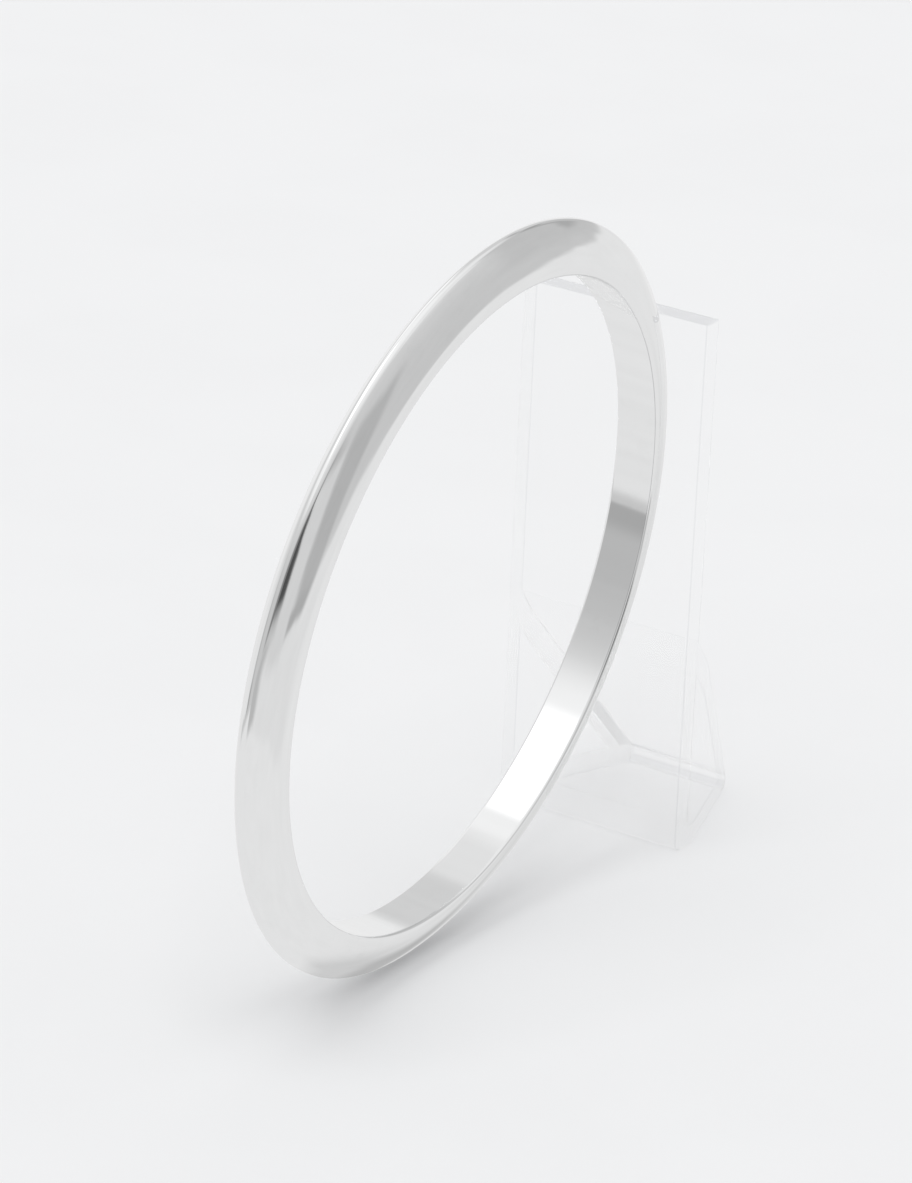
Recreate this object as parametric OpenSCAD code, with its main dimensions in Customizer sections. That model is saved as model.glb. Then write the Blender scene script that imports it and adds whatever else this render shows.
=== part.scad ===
// A slim kada bangle with a ridged outside, shown on a small clear stand.
// The origin is the centre of the bangle's hole, +Z is up and +X points from the bangle to the
// stand. The bangle's front faces -Y and leans forward a little. Millimetres and degrees.

/* [Bangle] */
// Diameter of the hole that the hand goes through
hole_d = 63.5; // [50:0.5:76]
// Width of the bangle along the hole's axis
bangle_w = 4.5; // [3.6:0.1:8]
// Thickness of the bangle from its inner face to its outer ridge
bangle_t = 4.85; // [3.6:0.05:7]
// Rounding of the outer ridge
ridge_r = 0.6; // [0.3:0.05:1]
// Rounding of the two inner edges
edge_r = 0.3; // [0.15:0.05:0.6]
// Radius of the gentle bulge of each flank
flank_r = 7.5; // [6:0.5:20]
// Lean of the bangle towards its front
bangle_lean = 5.8; // [0:0.1:10]

/* [Stand] */
// Thickness of the clear sheet
sheet_t = 2.3; // [1.5:0.1:3]
// Width of the sheet
stand_w = 20.6; // [16:0.1:32]
// Height of the panel that the bangle rests against
panel_h = 55.4; // [44:0.2:70]
// Lean of the panel away from the bangle, or towards it where negative
panel_lean = -2.9; // [-6:0.1:6]
// Depth of the foot on the table, from front to back
foot_d = 18; // [13:0.2:24]
// Width of the foot at its back edge
foot_back_w = 11; // [8:0.5:16]
// Height at which the rear strut meets the panel
strut_h = 21.6; // [14:0.2:32]
// Turn of the stand about the vertical, seen from above
stand_turn = -2.8; // [-12:0.1:12]
// Distance from the panel's side edge, on the bangle's front side, to where the bangle touches it
touch_inset = 4.6; // [1:0.1:12]
// Gap between the bangle's ridge and the panel
touch_gap = 0.15; // [0.05:0.05:0.3]

/* [Hidden] */
$fn = 96;

hole_r = hole_d / 2;
outer_r = hole_r + bangle_t;

// The bangle's section lies in X and Y, with X out from the hole's axis and Y along that axis.
// The ridge and the two inner edges are small circles, and each flank is an arc tangent to both.
ridge_c = [outer_r - ridge_r, 0];
edge_c = [hole_r + edge_r, bangle_w / 2 - edge_r];
flank_run = norm(edge_c - ridge_c);
flank_dir = (edge_c - ridge_c) / flank_run;
ridge_reach = flank_r - ridge_r;
edge_reach = flank_r - edge_r;
flank_foot = (pow(ridge_reach, 2) - pow(edge_reach, 2) + pow(flank_run, 2)) / (2 * flank_run);
flank_depth = sqrt(pow(ridge_reach, 2) - pow(flank_foot, 2));
flank_c = ridge_c + flank_foot * flank_dir + flank_depth * [-flank_dir.y, flank_dir.x];
ridge_ray = (ridge_c - flank_c) / ridge_reach;
edge_ray = (edge_c - flank_c) / edge_reach;

// The bangle stands on its ridge, so its lowest point is this far below the origin.
floor_drop = ridge_c.x * cos(bangle_lean) + ridge_r;

// The panel's front face is a plane, with its normal pointing into the panel. The bangle touches
// it where the ridge reaches furthest: ridge_out along the normal and touch_y along the width.
panel_normal = [cos(panel_lean) * cos(stand_turn), cos(panel_lean) * sin(stand_turn), -sin(panel_lean)];
width_dir = [-sin(stand_turn), cos(stand_turn), 0];
hole_axis = [0, -cos(bangle_lean), -sin(bangle_lean)];
in_ring = panel_normal - (panel_normal * hole_axis) * hole_axis;
ridge_out = ridge_c.x * norm(in_ring) + ridge_r;
touch_y = ridge_c.x * (in_ring * width_dir) / norm(in_ring);

// Where the stand's front fold lies, in the stand's own turned directions.
fold_x = (ridge_out + touch_gap + sheet_t / 2 - (floor_drop - sheet_t / 2) * sin(panel_lean))
    / cos(panel_lean);
fold_y = touch_y + stand_w / 2 - touch_inset;
fold_z = sheet_t / 2 - floor_drop;

// The middle line of the folded sheet, from the side: X to the back and Y up from the front fold.
front_fold = [0, 0];
back_fold = [foot_d - sheet_t, 0];
function on_panel(height) = (height - sheet_t / 2) * [tan(panel_lean), 1];

function mirrored(p) = [p.x, -p.y];

module bangle_section() {
    upper = [ridge_c + ridge_r * ridge_ray, flank_c + (flank_r + 1) * ridge_ray,
        flank_c + (flank_r + 1) * edge_ray, edge_c, [hole_r, edge_c.y]];
    count = len(upper);
    translate(ridge_c) circle(r = ridge_r);
    for (c = [edge_c, mirrored(edge_c)]) translate(c) circle(r = edge_r);
    intersection() {
        translate(flank_c) circle(r = flank_r);
        translate(mirrored(flank_c)) circle(r = flank_r);
        polygon(concat([ridge_c], upper, [for (i = [1 : count]) mirrored(upper[count - i])]));
    }
}

module bangle() {
    color("silver")
        rotate([90 + bangle_lean, 0, 0]) rotate_extrude($fn = 180) bangle_section();
}

// Stands a side outline up and gives it the sheet's width.
module across() {
    rotate([90, 0, 0]) linear_extrude(stand_w, center = true) children();
}

// A flat run of the sheet between two points of its middle line, cut square at both ends.
module flat_run(from, to) {
    side = sheet_t / 2 * [from.y - to.y, to.x - from.x] / norm(to - from);
    across() polygon([from + side, to + side, to - side, from - side]);
}

module round_fold(at) {
    across() translate(at) circle(d = sheet_t);
}

module folded_sheet() {
    flat_run(front_fold, on_panel(panel_h));
    flat_run(front_fold, back_fold);
    flat_run(back_fold, on_panel(strut_h));
    round_fold(front_fold);
    round_fold(back_fold);
}

// The sheet from above: full width at the panel, narrowing to the back edge of the foot.
module sheet_plan() {
    front = min(0, on_panel(panel_h).x) - sheet_t;
    panel_back = max(0, on_panel(panel_h).x) + sheet_t;
    back = back_fold.x + sheet_t / 2;
    polygon([[front, -stand_w / 2], [panel_back, -stand_w / 2], [back, -foot_back_w / 2],
        [back, foot_back_w / 2], [panel_back, stand_w / 2], [front, stand_w / 2]]);
}

module stand() {
    color([0.86, 0.9, 0.92, 0.35])
        rotate([0, 0, stand_turn]) translate([fold_x, fold_y, fold_z])
            intersection() {
                union() folded_sheet();
                translate([0, 0, -sheet_t]) linear_extrude(panel_h + 2 * sheet_t) sheet_plan();
            }
}

bangle();
stand();
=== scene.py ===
"""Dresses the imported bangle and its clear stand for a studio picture.

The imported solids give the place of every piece. The bangle is worked out again as one smooth
surface of revolution, because its polish shows every facet, and the stand gets eased edges.
All lengths are in metres unless a name ends in _mm.
"""
import logging
import math
from dataclasses import dataclass, field
from enum import Enum
from typing import Union

import bpy
import numpy as np
from mathutils import Matrix, Vector


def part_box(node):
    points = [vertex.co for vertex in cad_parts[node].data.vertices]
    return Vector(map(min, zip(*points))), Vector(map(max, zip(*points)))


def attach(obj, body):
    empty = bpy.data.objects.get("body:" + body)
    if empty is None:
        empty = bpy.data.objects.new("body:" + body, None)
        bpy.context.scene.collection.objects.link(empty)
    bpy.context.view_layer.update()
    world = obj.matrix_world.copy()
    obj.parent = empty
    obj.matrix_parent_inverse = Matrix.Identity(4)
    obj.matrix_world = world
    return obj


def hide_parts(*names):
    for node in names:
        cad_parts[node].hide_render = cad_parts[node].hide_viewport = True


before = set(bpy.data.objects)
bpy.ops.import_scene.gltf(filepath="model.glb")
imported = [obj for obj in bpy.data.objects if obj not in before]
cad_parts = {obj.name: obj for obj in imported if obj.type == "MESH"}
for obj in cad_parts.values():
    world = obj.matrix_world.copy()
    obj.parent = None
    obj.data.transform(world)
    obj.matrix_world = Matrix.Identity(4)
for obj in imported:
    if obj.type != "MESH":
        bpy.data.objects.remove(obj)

log = logging.getLogger("bangle")

MM = 0.001
BODY = "root"
# How often light may pass through the clear sheet, and how often it may be mirrored
CLEAR_TURNS = 24
MIRROR_TURNS = 16

Number = Union[float, int]
Value = Union["Expr", float, int]
Span = tuple[float, float]
Triple = tuple[float, float, float]
Colour = tuple[float, float, float, float]
Inputs = dict[Union[str, int], object]


# Shader maths


class Expr:
    """A shader value that turns Python arithmetic into Math nodes.

    Args:
        graph: The graph that the nodes are added to.
        socket: The output socket that carries the value.
    """

    def __init__(self, graph: "Graph", socket: bpy.types.NodeSocket) -> None:
        """Keep the graph and the socket."""
        self.graph = graph
        self.socket = socket

    def _math(self, operation: str, *values: Value) -> "Expr":
        """Add one Math node on these values and return its result."""
        return self.graph.value("ShaderNodeMath", {"operation": operation},
                                dict(enumerate(values)))

    def __add__(self, other: Value) -> "Expr":
        """Return self + other."""
        return self._math("ADD", self, other)

    def __radd__(self, other: Number) -> "Expr":
        """Return other + self."""
        return self._math("ADD", other, self)

    def __sub__(self, other: Value) -> "Expr":
        """Return self - other."""
        return self._math("SUBTRACT", self, other)

    def __rsub__(self, other: Number) -> "Expr":
        """Return other - self."""
        return self._math("SUBTRACT", other, self)

    def __mul__(self, other: Value) -> "Expr":
        """Return self * other."""
        return self._math("MULTIPLY", self, other)

    def __rmul__(self, other: Number) -> "Expr":
        """Return other * self."""
        return self._math("MULTIPLY", other, self)

    def absolute(self) -> "Expr":
        """Return the value without its sign."""
        return self._math("ABSOLUTE", self)

    def wrapped(self, low: Number, high: Number) -> "Expr":
        """Return the value carried back into the range from low to high."""
        return self._math("WRAP", self, high, low)

    def larger(self, other: "Expr") -> "Expr":
        """Return the larger of the two values."""
        return self._math("MAXIMUM", self, other)

    def step(self, low: Number, high: Number) -> "Expr":
        """Return a smooth step of the value.

        Args:
            low: The value where the step is 0.
            high: The value where the step is 1; it may lie below low.

        Returns:
            A value from 0 to 1 with soft ends.
        """
        if low > high:
            return 1 - self.step(high, low)
        return self.graph.value(
            "ShaderNodeMapRange", {"interpolation_type": "SMOOTHSTEP"},
            {"Value": self, "From Min": low, "From Max": high, "To Min": 0.0, "To Max": 1.0})


@dataclass(frozen=True)
class Grain:
    """One noise pattern.

    Attributes:
        scale: How fine it is, in features for each metre or each unit of a stretched map.
        detail: Octaves of finer noise.
        roughness: Strength of the finer octaves.
        limits: Noise values where a mask made from it starts and where it is full.
        stretch: How its coordinates are stretched first, if at all.
        turn: How they are turned, in radians.
    """

    scale: float = 1.0
    detail: float = 3.0
    roughness: float = 0.5
    limits: Span = (0.0, 1.0)
    stretch: Triple | None = None
    turn: Triple = (0.0, 0.0, 0.0)


class Graph:
    """The nodes of one material or world.

    Args:
        tree: The node tree, which is emptied first.
    """

    def __init__(self, tree: bpy.types.NodeTree) -> None:
        """Empty the tree and keep it."""
        tree.nodes.clear()
        self.tree = tree

    def node(self, kind: str, settings: dict[str, object] | None = None,
             inputs: Inputs | None = None) -> bpy.types.Node:
        """Add one node.

        Args:
            kind: The node's type name.
            settings: The node's own settings, which are set before its sockets.
            inputs: Socket names or indices with a value, an Expr or an output socket.

        Returns:
            The new node.
        """
        made = self.tree.nodes.new(kind)
        for name, setting in (settings or {}).items():
            setattr(made, name, setting)
        for name, given in (inputs or {}).items():
            source = given.socket if isinstance(given, Expr) else given
            if isinstance(source, bpy.types.NodeSocket):
                self.tree.links.new(source, made.inputs[name])
            else:
                made.inputs[name].default_value = source
        return made

    def value(self, kind: str, settings: dict[str, object] | None = None,
              inputs: Inputs | None = None, output: Union[str, int] = 0) -> Expr:
        """Add one node and return one of its outputs as an Expr."""
        return Expr(self, self.node(kind, settings, inputs).outputs[output])

    def blend(self, share: Expr, low: object, high: object) -> Expr:
        """Mix two colours.

        Args:
            share: How much of high shows, from 0 to 1.
            low: The colour, or its Expr, where share is 0.
            high: The colour, or its Expr, where share is 1.

        Returns:
            The mixed colour.
        """
        return self.value("ShaderNodeMix", {"data_type": "RGBA"}, {0: share, 6: low, 7: high}, 2)

    def noise(self, coords: object, grain: Grain) -> Expr:
        """Lay a noise pattern over coords.

        Args:
            coords: Output socket or Expr with the coordinates.
            grain: The pattern.

        Returns:
            Its value, about 0.5 on average.
        """
        if grain.stretch:
            coords = self.value("ShaderNodeMapping", {"vector_type": "POINT"},
                                {"Vector": coords, "Scale": grain.stretch,
                                 "Rotation": grain.turn})
        return self.value("ShaderNodeTexNoise", {"noise_dimensions": "3D"},
                          {"Vector": coords, "Scale": grain.scale, "Detail": grain.detail,
                           "Roughness": grain.roughness})

    def mask(self, coords: object, grain: Grain) -> Expr:
        """Lay a noise pattern over coords and return its mask, from 0 to 1."""
        return self.noise(coords, grain).step(*grain.limits)

    def parts(self, vector: object) -> tuple[Expr, Expr, Expr]:
        """Split a vector into its three values."""
        split = self.node("ShaderNodeSeparateXYZ", None, {0: vector})
        return tuple(Expr(self, socket) for socket in split.outputs)

    def bump(self, height: Expr, distance: float, strength: float = 1.0,
             below: Expr | None = None) -> Expr:
        """Turn a height into a normal.

        Args:
            height: The height, from 0 to 1.
            distance: The real height of 1, in metres.
            strength: How much of the bump shows.
            below: The normal that the bump lies on, where it isn't the bare surface's.

        Returns:
            The bumped normal.
        """
        inputs: Inputs = {"Height": height, "Distance": distance, "Strength": strength}
        if below is not None:
            inputs["Normal"] = below
        return self.value("ShaderNodeBump", None, inputs)

    def surface(self, inputs: Inputs) -> None:
        """Show the Principled shader, with these inputs, as the material's surface."""
        shader = self.node("ShaderNodeBsdfPrincipled", None, inputs)
        self.node("ShaderNodeOutputMaterial", None, {"Surface": shader.outputs[0]})


def new_material(name: str) -> tuple[bpy.types.Material, Graph]:
    """Make an empty node material.

    Args:
        name: The material's name.

    Returns:
        The material and its graph.
    """
    made = bpy.data.materials.new(name)
    made.use_nodes = True
    return made, Graph(made.node_tree)


# Finishes


@dataclass(frozen=True)
class PolishedSilver:
    """Mirror-polished silver with fine wheel marks, faint waves and a trace of handling.

    Attributes:
        clean: Colour of the bare metal.
        dulled: Colour where the polish is a little dulled.
        shade_line_colour: Painted shade: colour of a dark line laid along part of the front inner
            edge.
        smooth: Roughness of the best polish.
        marked: What wheel marks and handling add to the roughness.
        marked_share: The share of that which each of the two can reach.
        wheel: Wheel marks, on the piece's own map.
        wave: Slow waves that hand polishing leaves.
        patch: Parts that are handled more.
        prints: Traces of handling within them.
        wave_mm: Height of the waves.
        mark_mm: Height of the wheel marks.
        mark_strength: How much of the wheel marks' relief shows.
        print_dull: How far prints dull the colour.
        patch_dull: How far handled parts dull the colour.
        shade_line_at: Where the painted shade line is strongest, in turns round the hole from +X.
        shade_line_span: Turns from there where it has gone and where it is full.
        shade_line_width: Distance from its middle, on the map, where it has gone and is full.
        shade_line_share: How much of the painted shade line's colour shows.
    """

    clean: Colour = (0.950, 0.954, 0.957, 1.0)
    dulled: Colour = (0.855, 0.858, 0.860, 1.0)
    # Painted shade: colour of the dark line along part of the front inner edge
    shade_line_colour: Colour = (0.45, 0.45, 0.46, 1.0)
    smooth: float = 0.045
    marked: float = 0.10
    marked_share: float = 0.35
    wheel: Grain = Grain(1.0, 4.0, 0.62, (0.50, 0.72), (26.0, 700.0, 1.0))
    wave: Grain = Grain(75.0, 1.5, 0.4)
    patch: Grain = Grain(55.0, 3.0, 0.55, (0.42, 0.68))
    prints: Grain = Grain(420.0, 4.0, 0.6, (0.50, 0.74))
    wave_mm: float = 0.030
    mark_mm: float = 0.0006
    mark_strength: float = 0.6
    print_dull: float = 0.25
    patch_dull: float = 0.10
    shade_line_at: float = 0.07
    shade_line_span: Span = (0.20, 0.12)
    shade_line_width: Span = (0.006, 0.002)
    shade_line_share: float = 0.75

    def material(self, name: str, edge_at: float) -> bpy.types.Material:
        """Build the metal.

        The marks run round the bangle, so they read the piece's own map, whose first axis goes
        round and whose second goes across the section. Roughness is the polish's plus marked
        times the shares of wheel marks and prints. A dark line of painted shade is laid into the
        colour along part of the front inner edge.

        Args:
            name: The material's name.
            edge_at: Where the map's second axis meets the front inner edge.

        Returns:
            The finished material.
        """
        made, graph = new_material(name)
        place = graph.value("ShaderNodeTexCoord", output="Object")
        around = graph.value("ShaderNodeUVMap", {"uv_map": "section"})
        marks = graph.noise(around, self.wheel)
        patches = graph.mask(place, self.patch)
        prints = graph.mask(place, self.prints) * patches
        rough = self.smooth + self.marked * (
            self.marked_share * marks.step(*self.wheel.limits) + self.marked_share * prints)
        waves = graph.bump(graph.noise(place, self.wave), self.wave_mm * MM)
        # Painted shade: a dark line along part of the front inner edge, laid into the metal's
        # colour
        turn, across, _ = graph.parts(around)
        shade_line = (turn - self.shade_line_at).wrapped(-0.5, 0.5).absolute().step(*self.shade_line_span)
        shade_line = shade_line * (across - edge_at).absolute().step(*self.shade_line_width)
        metal = graph.blend(self.print_dull * prints + self.patch_dull * patches,
                            self.clean, self.dulled)
        graph.surface({
            "Base Color": graph.blend(self.shade_line_share * shade_line, metal, self.shade_line_colour),
            "Metallic": 1.0, "Roughness": rough,
            "Normal": graph.bump(marks, self.mark_mm * MM, self.mark_strength, waves)})
        return made


@dataclass(frozen=True)
class ClearAcrylic:
    """Clear polished acrylic sheet with a slight haze, hairlines and satin cut edges.

    Attributes:
        tint: Colour of the sheet.
        hazed: Colour where it is a little hazed.
        shade_gray: Painted shade: gray laid where the sheet turns, on its folds and eased edges,
            and on the panel's top.
        index: Refractive index.
        body: How much a face shows at all, because a clear sheet is mostly air to the eye.
        bend_shade_body: What a fold or an eased edge gains, to show its painted shade.
        top_shade_body: What the panel's top gains, to show its painted shade.
        smooth: Roughness of the polished faces.
        cut: Roughness that a cut edge adds.
        haze_rough: Roughness that haze adds.
        hair_rough: Roughness that hairlines add.
        haze_share: How much of the hazed colour shows.
        saw: Marks of the saw on the cut edges.
        haze: Faint haze of the faces.
        hairs: Hairlines on the faces.
        ripple: Faint ripple of the faces.
        ripple_mm: Height of the ripple.
        bend_limits: Shares of the normal where a bend starts and where it is full.
        face_limits: Shares of the normal where a face starts to lie along a direction.
        top_shade_mm: Depths below the panel's top where its painted gray starts and is full.
    """

    tint: Colour = (0.985, 0.99, 0.992, 1.0)
    hazed: Colour = (0.955, 0.963, 0.968, 1.0)
    # Painted shade: gray laid on the folds, the eased edges and the panel's top
    shade_gray: Colour = (0.44, 0.45, 0.48, 1.0)
    index: float = 1.49
    body: float = 0.065
    bend_shade_body: float = 0.14
    top_shade_body: float = 0.33
    smooth: float = 0.01
    cut: float = 0.12
    haze_rough: float = 0.02
    hair_rough: float = 0.03
    haze_share: float = 0.5
    saw: Grain = Grain(1.0, 3.0, 0.6, stretch=(300.0, 300.0, 900.0))
    haze: Grain = Grain(90.0, 4.0, 0.6, (0.48, 0.75))
    hairs: Grain = Grain(1.0, 2.0, 0.5, (0.66, 0.76), (2400.0, 2400.0, 60.0), (0.4, 0.2, 0.0))
    ripple: Grain = Grain(60.0, 1.0, 0.4)
    ripple_mm: float = 0.001
    bend_limits: Span = (0.985, 0.93)
    face_limits: Span = (0.35, 0.7)
    top_shade_mm: Span = (0.6, 0.3)

    def material(self, name: str, flats: tuple[Vector, ...], top: float) -> bpy.types.Material:
        """Build the clear sheet.

        On a flat face the normal lies along one of the flats, so the largest of its shares along
        them is 1. On a fold or an eased edge that share is smaller, and there gray is painted in
        as painted shade for the lines that such edges show; the panel's top face gets painted
        gray as well.

        Args:
            name: The material's name.
            flats: Directions square to the sheet's flat faces, its width first.
            top: Height of the panel's top.

        Returns:
            The finished material.
        """
        made, graph = new_material(name)
        place = graph.value("ShaderNodeTexCoord", output="Object")
        facing = graph.value("ShaderNodeNewGeometry", output="Normal")
        shares = [graph.value("ShaderNodeVectorMath", {"operation": "DOT_PRODUCT"},
                              {0: facing, 1: tuple(flat)}, "Value").absolute() for flat in flats]
        largest = shares[0]
        for share in shares[1:]:
            largest = largest.larger(share)
        # Painted shade: gray lines on the folds and eased edges, with more alpha
        bend_shade = largest.step(*self.bend_limits)
        # Painted shade: gray on the panel's top face, where it faces up
        start, full = (top - depth * MM for depth in self.top_shade_mm)
        top_shade = graph.parts(place)[2].step(start, full)
        top_shade = top_shade * graph.parts(facing)[2].step(*self.face_limits) * (1 - bend_shade)
        cut = shares[0].step(*self.face_limits)
        haze = graph.mask(place, self.haze)
        rough = self.smooth + self.cut * cut * graph.noise(place, self.saw) \
            + self.haze_rough * haze + self.hair_rough * graph.mask(place, self.hairs)
        face = graph.blend(self.haze_share * haze, self.tint, self.hazed)
        graph.surface({
            "Base Color": graph.blend(bend_shade + top_shade, face, self.shade_gray),
            "Transmission Weight": 1.0, "IOR": self.index,
            "Alpha": self.body + self.bend_shade_body * bend_shade + self.top_shade_body * top_shade,
            "Roughness": rough,
            "Normal": graph.bump(graph.noise(place, self.ripple), self.ripple_mm * MM)})
        return made


@dataclass(frozen=True)
class PaleCard:
    """The pale card on the table, with a faint grain.

    Attributes:
        colour: Colour of the card.
        shade: Colour in its grain.
        grain: The grain.
        rough: Roughness of the card.
        sheen: Strength of its mirror share.
    """

    colour: Colour = (0.876, 0.881, 0.890, 1.0)
    shade: Colour = (0.868, 0.873, 0.882, 1.0)
    grain: Grain = Grain(38.0, 3.0, 0.5, (0.35, 0.65))
    rough: float = 0.85
    sheen: float = 0.2

    def material(self, name: str) -> bpy.types.Material:
        """Build the card.

        Args:
            name: The material's name.

        Returns:
            The finished material.
        """
        made, graph = new_material(name)
        place = graph.value("ShaderNodeTexCoord", output="Object")
        graph.surface({
            "Base Color": graph.blend(graph.mask(place, self.grain), self.colour, self.shade),
            "Roughness": self.rough, "Specular IOR Level": self.sheen})
        return made


# Meshes


def add_mesh(name: str, points: np.ndarray, faces: np.ndarray) -> bpy.types.Object:
    """Make an object at the origin from points and faces.

    Args:
        name: The piece's name.
        points: Corner places, one row each.
        faces: Corner numbers, one row for each face.

    Returns:
        The object, linked to the scene and shaded smooth.
    """
    mesh = bpy.data.meshes.new(name)
    mesh.from_pydata(points.tolist(), [], faces.tolist())
    mesh.shade_smooth()
    made = bpy.data.objects.new(name, mesh)
    bpy.context.scene.collection.objects.link(made)
    return made


@dataclass
class Bangle:
    """The bangle: a ridged section carried round the hole.

    Attributes:
        hole_r: Radius of the hole.
        thickness: From the inner face to the outer ridge.
        width: Along the hole's axis.
        ridge_r: Rounding of the outer ridge.
        edge_r: Rounding of the two inner edges.
        flank_r: Radius of the bulge of each flank.
        lean_deg: Lean towards the front.
        turns: Steps round the hole.
        inner_steps: Steps across half of the inner face.
        edge_points: Points of an inner edge's arc.
        flank_points: Points of a flank's arc.
        ridge_points: Points of half of the ridge's arc.
        shade_line_step: Place of the painted shade line, in steps of the section from the inner
            face's middle.
        finish: The metal.
    """

    hole_r: float = 31.75 * MM
    thickness: float = 4.85 * MM
    width: float = 4.5 * MM
    ridge_r: float = 0.6 * MM
    edge_r: float = 0.3 * MM
    flank_r: float = 7.5 * MM
    lean_deg: float = 5.8
    turns: int = 900
    inner_steps: int = 5
    edge_points: int = 9
    flank_points: int = 26
    ridge_points: int = 12
    # Painted shade: where the dark line along the front inner edge lies across the section
    shade_line_step: float = 5.5
    finish: PolishedSilver = field(default_factory=PolishedSilver)

    def half_section(self) -> tuple[np.ndarray, np.ndarray]:
        """Work out the front half of the section.

        Each arc is its centre plus its radius times (cos, sin) of an angle. The flank's large
        circle holds those of the ridge and the edge and touches both, so its centre lies flank_r
        less their radius away from theirs, and it meets them on the lines through the centres.

        Returns:
            The points and their outward normals, from the middle of the inner face over the edge
            and the flank to the top of the ridge, as (out from the axis, along the axis).
        """
        ridge = np.array([self.hole_r + self.thickness - self.ridge_r, 0.0])
        edge = np.array([self.hole_r + self.edge_r, self.width / 2 - self.edge_r])
        gap = edge - ridge
        run = np.hypot(*gap)
        to_ridge, to_edge = self.flank_r - self.ridge_r, self.flank_r - self.edge_r
        foot = (to_ridge**2 - to_edge**2 + run**2) / (2 * run)
        depth = math.sqrt(to_ridge**2 - foot**2)
        centre = ridge + (foot * gap + depth * np.array([-gap[1], gap[0]])) / run
        ridge_at = math.atan2(*((ridge - centre)[::-1]))
        edge_at = math.atan2(*((edge - centre)[::-1]))
        arcs = ((edge, self.edge_r, math.pi, edge_at, self.edge_points),
                (centre, self.flank_r, edge_at, ridge_at, self.flank_points),
                (ridge, self.ridge_r, ridge_at, 0.0, self.ridge_points))
        inner = np.linspace(0.0, edge[1], self.inner_steps, endpoint=False)
        points = [np.stack([np.full_like(inner, self.hole_r), inner], 1)]
        normals = [np.tile([-1.0, 0.0], (self.inner_steps, 1))]
        for place, (middle, radius, start, stop, count) in enumerate(arcs):
            angle = np.linspace(start, stop, count)[1 if place else 0:]
            ray = np.stack([np.cos(angle), np.sin(angle)], 1)
            points.append(middle + radius * ray)
            normals.append(ray)
        return np.concatenate(points), np.concatenate(normals)

    def section(self) -> tuple[np.ndarray, np.ndarray]:
        """Close the half section with its mirror image.

        Returns:
            The points and their outward normals, once round the section.
        """
        points, normals = self.half_section()
        back = slice(-2, 0, -1)
        flip = np.array([1.0, -1.0])
        return (np.concatenate([points, points[back] * flip]),
                np.concatenate([normals, normals[back] * flip]))

    def carried(self, flat: np.ndarray) -> np.ndarray:
        """Carry points or normals of the section round the hole.

        A point is its distance out times the turning arm, plus its distance along times the
        hole's axis. The arm is cos(turn) along X plus sin(turn) up the leaning plane.

        Args:
            flat: Rows of (out from the axis, along the axis).

        Returns:
            Rows in X, Y and Z, one whole section after the other.
        """
        lean = math.radians(self.lean_deg)
        axis = np.array([0.0, -math.cos(lean), -math.sin(lean)])
        upward = np.array([0.0, -math.sin(lean), math.cos(lean)])
        turn = np.arange(self.turns)[:, None] * 2 * np.pi / self.turns
        arm = np.cos(turn) * np.array([1.0, 0.0, 0.0]) + np.sin(turn) * upward
        return (arm[:, None] * flat[:, :1] + axis * flat[:, 1:]).reshape(-1, 3)

    def build(self) -> bpy.types.Object:
        """Build the metal in place of its solid.

        Returns:
            The piece, which rides on the body.
        """
        points, normals = self.section()
        count = len(points)
        row = np.arange(self.turns)[:, None] * count
        after = (row + count) % (self.turns * count)
        this, that = np.arange(count)[None], (np.arange(count)[None] + 1) % count
        faces = np.stack([row + this, after + this, after + that, row + that], -1).reshape(-1, 4)
        made = add_mesh("bangle_metal", self.carried(points), faces)
        self.map_section(made.data, faces, count)
        self.point_outwards(made.data, self.carried(normals))
        made.data.materials.append(
            self.finish.material("polished_silver", self.shade_line_step / count))
        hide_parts("bangle")
        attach(made, BODY)
        return made

    def map_section(self, mesh: bpy.types.Mesh, faces: np.ndarray, count: int) -> None:
        """Give the mesh a map: first axis round the hole, second across the section.

        Args:
            mesh: The bangle's mesh.
            faces: Its corner numbers.
            count: Points in the section.
        """
        turn, step = np.divmod(faces, count)
        turn = np.where((turn == 0) & (turn.max(1, keepdims=True) == self.turns - 1)
                        & (turn.min(1, keepdims=True) == 0), self.turns, turn)
        step = np.where((step == 0) & (step.max(1, keepdims=True) == count - 1), count, step)
        flat = np.stack([turn / self.turns, step / count], -1).astype(np.float32)
        mesh.uv_layers.new(name="section").data.foreach_set("uv", flat.ravel())

    def point_outwards(self, mesh: bpy.types.Mesh, normals: np.ndarray) -> None:
        """Set exact normals, and turn the faces over if they point inwards.

        Args:
            mesh: The bangle's mesh.
            normals: The outward normal at each corner.
        """
        first = mesh.polygons[self.turns // 2]
        if Vector(normals[first.vertices[0]]).dot(first.normal) < 0:
            mesh.flip_normals()
        mesh.normals_split_custom_set_from_vertices(normals.tolist())


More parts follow.
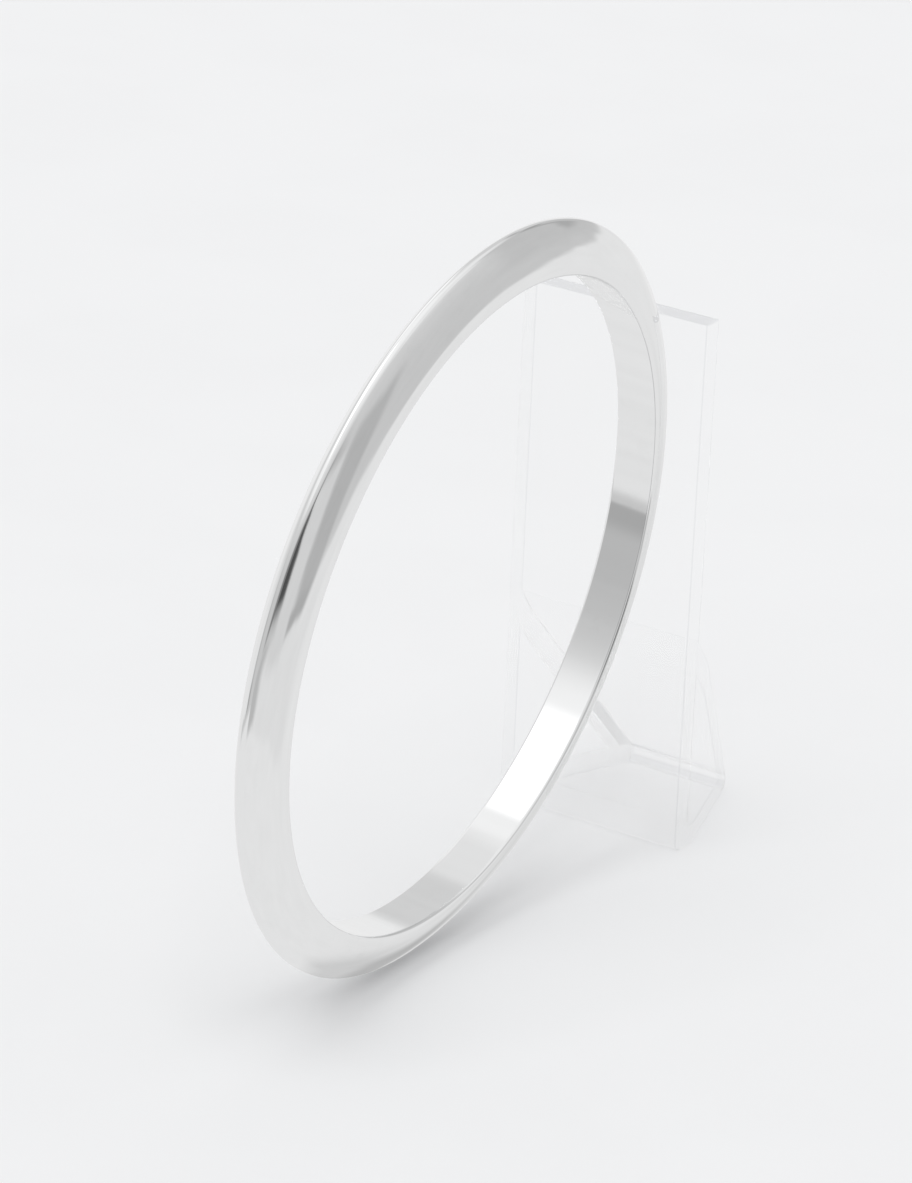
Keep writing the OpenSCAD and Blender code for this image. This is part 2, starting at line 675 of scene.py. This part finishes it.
@dataclass
class Stand:
    """The clear stand, made from its solid with all outer edges eased.

    Attributes:
        ease: Width of the eased edges.
        ease_steps: Faces across an eased edge.
        ease_deg: The least turn between two faces whose edge is eased.
        turn_deg: Turn about the vertical, seen from above.
        lean_deg: Lean of the panel away from the bangle, or towards it where negative.
        foot_run: From the front fold's middle to the back fold's.
        strut_rise: From the front fold's middle up to where the strut meets the panel.
        merge_digits: Decimals of a metre to which corners have to agree to become one.
        finish: The clear sheet.
    """

    ease: float = 0.16 * MM
    ease_steps: int = 3
    ease_deg: float = 35.0
    turn_deg: float = -2.8
    lean_deg: float = -2.9
    foot_run: float = 15.7 * MM
    strut_rise: float = 20.45 * MM
    merge_digits: int = 7
    finish: ClearAcrylic = field(default_factory=ClearAcrylic)

    def flats(self) -> tuple[Vector, ...]:
        """Work out the directions square to the sheet's flat faces.

        With x as the turned direction to the back, the panel's is cos(lean) along x less
        sin(lean) up, and the strut's has its rise along x and its run up.

        Returns:
            The directions of the cut sides, the foot, the panel and the strut.
        """
        turn, lean = math.radians(self.turn_deg), math.radians(self.lean_deg)
        back = Vector((math.cos(turn), math.sin(turn), 0.0))
        upward = Vector((0.0, 0.0, 1.0))
        strut_run = self.foot_run - self.strut_rise * math.tan(lean)
        return (upward.cross(back), upward,
                math.cos(lean) * back - math.sin(lean) * upward,
                (self.strut_rise * back + strut_run * upward).normalized())

    def merged(self) -> tuple[np.ndarray, np.ndarray]:
        """Merge the loose triangles of the stand's solid.

        Corners that agree to merge_digits become one, and triangles that lose a corner go.

        Returns:
            The merged points and the triangles' corner numbers.
        """
        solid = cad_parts["stand"].data
        points = np.empty(len(solid.vertices) * 3)
        solid.vertices.foreach_get("co", points)
        points = points.reshape(-1, 3)
        _, first, number = np.unique(np.round(points, self.merge_digits), axis=0,
                                     return_index=True, return_inverse=True)
        faces = np.empty(len(solid.polygons) * 3, int)
        solid.polygons.foreach_get("vertices", faces)
        faces = number.ravel()[faces].reshape(-1, 3)
        whole = (faces != np.roll(faces, 1, axis=1)).all(1)
        return points[first], faces[whole]

    def build(self) -> bpy.types.Object:
        """Build the eased sheet in place of its solid.

        Returns:
            The piece, which rides on the body.
        """
        points, faces = self.merged()
        made = add_mesh("stand_sheet", points, faces)
        ease = made.modifiers.new("eased_edges", "BEVEL")
        ease.width, ease.segments = self.ease, self.ease_steps
        ease.limit_method, ease.angle_limit = "ANGLE", math.radians(self.ease_deg)
        ease.harden_normals = True
        ease.use_clamp_overlap = False
        made.data.materials.append(
            self.finish.material("clear_acrylic", self.flats(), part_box("stand")[1].z))
        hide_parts("stand")
        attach(made, BODY)
        return made


# Stage, light and camera


class Tone(Enum):
    """Brightness of what the metal mirrors, as scene-linear light."""

    TABLE = 0.79
    BACKDROP = 0.86
    WALL = 0.58
    SHADE = 0.46
    OVERHEAD = 0.93
    WINDOW = 1.35
    DOORWAY = 0.22
    GAP = 0.08


@dataclass(frozen=True)
class Patch:
    """A soft-edged patch of the light tent.

    Attributes:
        azimuth: Where it starts and ends round the vertical, in degrees from +X towards +Y.
        elevation: Its lower and upper end, in degrees above the horizon.
        soft: Width of its soft rim at the sides, below and above, in degrees.
        tone: Its brightness.
    """

    azimuth: Span
    elevation: Span
    soft: Triple
    tone: float


@dataclass
class LightTent:
    """The soft studio light: a pale tent, and what the metal mirrors in it.

    Attributes:
        low_sky: Brightness of the tent at the horizon, as it lights the table.
        high_sky: What it gains towards the top.
        backdrop: Brightness of the tent where the camera sees it.
        rim_deg: Half the width of the blurred rim of the table.
        rim_height: How high the rim shows in front, in degrees above the horizon.
        rear_rise: What it gains behind the piece.
        rear_spans: Where that starts and is full, from either side, in degrees of azimuth.
        side_rise: What it gains at the camera's right.
        side_spans: Where that starts and is full, from either side.
        fold: Folds of the cloth.
        fold_deg: How far they push the patches about.
        cloud: Slow changes of the cloth's brightness.
        cloud_tone: How strong these are.
        patches: The patches, laid one over the other, each over those before it.
    """

    low_sky: float = 0.64
    high_sky: float = 0.18
    backdrop: float = 0.875
    rim_deg: float = 1.8
    rim_height: float = -24.6
    rear_rise: float = 28.0
    rear_spans: tuple[Span, Span] = ((-84.0, 6.0), (112.0, 76.0))
    side_rise: float = 3.5
    side_spans: tuple[Span, Span] = ((-104.0, -90.0), (-40.0, -66.0))
    fold: Grain = Grain(7.0, 2.0)
    fold_deg: float = 5.0
    cloud: Grain = Grain(13.0, 2.5)
    cloud_tone: float = 0.08
    patches: tuple[Patch, ...] = (
        # Overhead, all round
        Patch((-180.0, 180.0), (80.0, 90.0), (1.0, 75.0, 1.0), Tone.OVERHEAD.value),
        # The table, at the right and at the right rear
        Patch((-118.0, -58.0), (-32.0, -25.0), (12.0, 3.0, 12.0), 0.74),
        Patch((-12.0, 14.0), (-32.0, -22.0), (8.0, 5.0, 6.0), 0.72),
        # Dark cloth at the right rear, and low beside the camera
        Patch((-36.0, 8.0), (8.0, 34.0), (9.0, 8.0, 14.0), 0.54),
        Patch((-150.0, -112.0), (-30.0, -18.0), (6.0, 5.0, 6.0), 0.49),
        # Pale ground behind the piece and at the left
        Patch((14.0, 75.0), (-10.0, 12.0), (9.0, 10.0, 12.0), Tone.BACKDROP.value),
        Patch((66.0, 142.0), (-19.0, -2.0), (12.0, 3.0, 30.0), 0.80),
        # Cloth above the rear, and above the right
        Patch((10.0, 42.0), (28.0, 50.0), (12.0, 8.0, 8.0), 0.65),
        Patch((8.0, 56.0), (56.0, 66.0), (14.0, 8.0, 8.0), 0.78),
        Patch((48.0, 75.0), (36.0, 56.0), (8.0, 8.0, 8.0), 1.0),
        Patch((-76.0, -48.0), (32.0, 50.0), (8.0, 7.0, 12.0), 0.82),
        # At the left, what the inner face mirrors: dark, then pale and bright above
        Patch((151.0, 163.0), (-19.0, -4.0), (7.0, 2.0, 36.0), 0.49),
        Patch((146.0, 163.0), (-20.5, -17.0), (6.0, 1.5, 6.0), 0.40),
        Patch((122.0, 182.0), (42.0, 50.0), (12.0, 16.0, 8.0), 0.93),
        Patch((100.0, 152.0), (52.0, 72.0), (16.0, 8.0, 8.0), Tone.WINDOW.value),
        # Shade at the right, with a thin line under it
        Patch((-84.0, -71.0), (-16.0, 8.0), (5.0, 5.0, 8.0), Tone.SHADE.value),
        Patch((-96.0, -74.0), (-18.8, -17.2), (5.0, 2.0, 2.0), 0.42),
        # Dark folds at the right rear
        Patch((-17.0, -12.0), (11.0, 24.0), (4.0, 4.0, 5.0), 0.42),
        Patch((-13.0, 0.0), (28.0, 33.0), (5.0, 3.0, 3.0), 0.38),
        Patch((2.0, 14.0), (36.0, 39.0), (6.0, 2.5, 2.5), 0.44),
        # A dark doorway at the near right, with its pale jamb and a black gap
        Patch((-132.0, -106.0), (-8.0, 12.0), (18.0, 7.0, 12.0), Tone.DOORWAY.value),
        Patch((-102.0, -90.0), (-20.0, 8.0), (3.5, 6.0, 6.0), 0.66),
        Patch((-114.0, -105.5), (-8.0, 6.0), (4.0, 5.0, 8.0), Tone.GAP.value),
        # Shade low on the table behind
        Patch((-8.0, 14.0), (-51.0, -44.0), (16.0, 8.0, 12.0), 0.62),
        Patch((6.0, 22.0), (-41.0, -36.0), (12.0, 6.0, 6.0), 0.48),
    )

    def build(self) -> None:
        """Build the world's nodes.

        The metal mirrors the layered tones. The table gets light that grows with the square of
        the sine of the elevation, as in a tent that is lit from above. The two are parted by a
        Mix Shader, so that only mirrored rays work out the patches.
        """
        world = bpy.data.worlds.new("light_tent")
        world.use_nodes = True
        bpy.context.scene.world = world
        graph = Graph(world.node_tree)
        direction = graph.value("ShaderNodeTexCoord", output="Generated")
        x, y, z = graph.parts(direction)
        degrees = 180 / math.pi
        azimuth = graph.value("ShaderNodeMath", {"operation": "ARCTAN2"}, {0: y, 1: x}) * degrees
        height = graph.value("ShaderNodeMath", {"operation": "ARCSINE"}, {0: z}) * degrees
        ray = graph.node("ShaderNodeLightPath")
        seen = Expr(graph, ray.outputs["Is Camera Ray"])
        glossy = Expr(graph, ray.outputs["Is Glossy Ray"])
        sky = self.low_sky + self.high_sky * z * z
        sky = sky + seen * (self.backdrop - sky)
        fold = graph.noise(direction, self.fold) - 0.5
        cloud = graph.noise(direction, self.cloud) - 0.5
        mirrored = self.layered(height + self.fold_deg * fold, azimuth - self.fold_deg * fold)
        mirrored = mirrored * (1 + self.cloud_tone * cloud)
        plain, patched = (graph.node("ShaderNodeBackground", None,
                                     {"Color": (1.0, 1.0, 1.0, 1.0), "Strength": light})
                          for light in (sky, mirrored))
        shader = graph.node("ShaderNodeMixShader", None,
                            {0: glossy, 1: plain.outputs[0], 2: patched.outputs[0]})
        graph.node("ShaderNodeOutputWorld", None, {"Surface": shader.outputs[0]})

    def rim(self, azimuth: Expr) -> Expr:
        """Work out how high the table's rim shows.

        It is the height in front plus the rise behind the piece and the one at the side.

        Args:
            azimuth: Degrees round the vertical.

        Returns:
            The rim's height, in degrees above the horizon.
        """
        rear, side = ([azimuth.step(*span) for span in spans]
                      for spans in (self.rear_spans, self.side_spans))
        return (self.rear_rise * (rear[0] * rear[1]) + self.side_rise * side[0] * side[1]
                + self.rim_height)

    def layered(self, height: Expr, azimuth: Expr) -> Expr:
        """Lay the patches over the table and the wall, one after the other.

        A patch covers what lies behind it by the product of two soft steps, one across its sides
        and one across its height.

        Args:
            height: Degrees above the horizon.
            azimuth: Degrees round the vertical.

        Returns:
            The brightness in that direction.
        """
        tone = Tone.TABLE.value + (height - self.rim(azimuth)).step(
            -self.rim_deg, self.rim_deg) * (Tone.WALL.value - Tone.TABLE.value)
        for patch in self.patches:
            side, below, above = patch.soft
            low, high = patch.elevation
            share = height.step(low - below, low)
            if high < 90.0:
                share = share * height.step(high + above, high)
            start, stop = patch.azimuth
            if stop - start < 360.0:
                away = (azimuth - (start + stop) / 2).wrapped(-180.0, 180.0).absolute()
                half = (stop - start) / 2
                share = share * away.step(half + side, half)
            tone = tone + share * (patch.tone - tone)
        return tone


@dataclass
class Stage:
    """The pale table card under the piece.

    Attributes:
        reach: Half of the card's size.
        lines: Rows of points along each side of the card.
        drop: How far the card lies under the solids.
        card: The card's finish.
    """

    reach: float = 3.0
    lines: int = 13
    drop: float = 0.02 * MM
    card: PaleCard = field(default_factory=PaleCard)

    def build(self) -> bpy.types.Object:
        """Lay the card just under the solids' lowest point.

        Returns:
            The card.
        """
        floor = min(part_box("bangle")[0].z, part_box("stand")[0].z)
        side = np.linspace(-self.reach, self.reach, self.lines)
        x, y = np.meshgrid(side, side, indexing="ij")
        points = np.stack([x, y, np.full_like(x, floor - self.drop)], -1).reshape(-1, 3)
        step = np.arange(self.lines - 1)
        corner = (step[:, None] * self.lines + step[None]).ravel()
        after = corner + self.lines
        made = add_mesh("table_card", points,
                        np.stack([corner, after, after + 1, corner + 1], 1))
        made.data.materials.append(self.card.material("pale_card"))
        made.visible_glossy = False
        return made


@dataclass
class SoftLamp:
    """One very soft lamp, high on the camera's left.

    Attributes:
        towards: Direction from the table to the lamp.
        spread_deg: How wide the lamp looks from the table.
        strength: Light that falls on a face turned to it.
    """

    towards: Triple = (-0.55, -0.10, 1.0)
    spread_deg: float = 44.0
    strength: float = 1.03

    def build(self) -> bpy.types.Object:
        """Place the lamp, unseen in the metal.

        Returns:
            The lamp.
        """
        lamp = bpy.data.lights.new("soft_lamp", "SUN")
        lamp.energy, lamp.angle = self.strength, math.radians(self.spread_deg)
        made = bpy.data.objects.new("soft_lamp", lamp)
        made.rotation_euler = (-Vector(self.towards)).to_track_quat("-Z", "Y").to_euler()
        made.visible_glossy = False
        bpy.context.scene.collection.objects.link(made)
        return made


@dataclass
class StudioCamera:
    """The camera, from the fit of the ring and the panel.

    Attributes:
        place_mm: Where it stands.
        right: Direction of the picture's right side.
        ahead: Direction that it looks in.
        focal_px: Focal length in pixels of the picture.
        picture: Size of the picture in pixels.
        sensor_mm: Width of the sensor that stands for the picture's longer side.
        clip: Nearest and farthest distance that shows.
    """

    place_mm: Triple = (-411.52, -226.76, 175.14)
    right: Triple = (0.5045, -0.8607, 0.0687)
    ahead: Triple = (0.8207, 0.4534, -0.3476)
    focal_px: float = 5500.0
    picture: tuple[int, int] = (912, 1183)
    sensor_mm: float = 36.0
    clip: Span = (0.01, 20.0)

    def build(self) -> bpy.types.Object:
        """Place the camera, with its three directions made square to each other.

        Returns:
            The camera, which the scene then looks through.
        """
        lens = bpy.data.cameras.new("studio_camera")
        lens.sensor_fit, lens.sensor_width = "AUTO", self.sensor_mm
        lens.lens = self.focal_px / max(self.picture) * self.sensor_mm
        lens.clip_start, lens.clip_end = self.clip
        ahead = Vector(self.ahead).normalized()
        right = (Vector(self.right) - ahead * ahead.dot(Vector(self.right))).normalized()
        upward = right.cross(ahead)
        made = bpy.data.objects.new("studio_camera", lens)
        turned = Matrix((right, upward, -ahead)).transposed().to_4x4()
        made.matrix_world = Matrix.Translation(Vector(self.place_mm) * MM) @ turned
        bpy.context.scene.collection.objects.link(made)
        bpy.context.scene.camera = made
        return made


def allow_clear_paths(scene: bpy.types.Scene) -> None:
    """Let light turn often enough inside the clear sheet that no edge of it goes black.

    Args:
        scene: The scene to set.
    """
    scene.cycles.max_bounces = CLEAR_TURNS
    scene.cycles.glossy_bounces = MIRROR_TURNS
    scene.cycles.transmission_bounces = CLEAR_TURNS
    scene.cycles.transparent_max_bounces = CLEAR_TURNS


def main() -> None:
    """Build the stage, the two pieces, the light and the camera, and note both sizes."""
    logging.basicConfig(level=logging.INFO, format="%(name)s: %(message)s")
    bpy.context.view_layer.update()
    bpy.context.scene.view_settings.view_transform = "Standard"
    allow_clear_paths(bpy.context.scene)
    for maker in (Stage(), Bangle(), Stand(), SoftLamp(), StudioCamera()):
        made = maker.build()
        faces = len(made.data.polygons) if made.type == "MESH" else 0
        log.info("%s: %d faces", made.name, faces)
    LightTent().build()


if __name__ == "__main__":
    main()
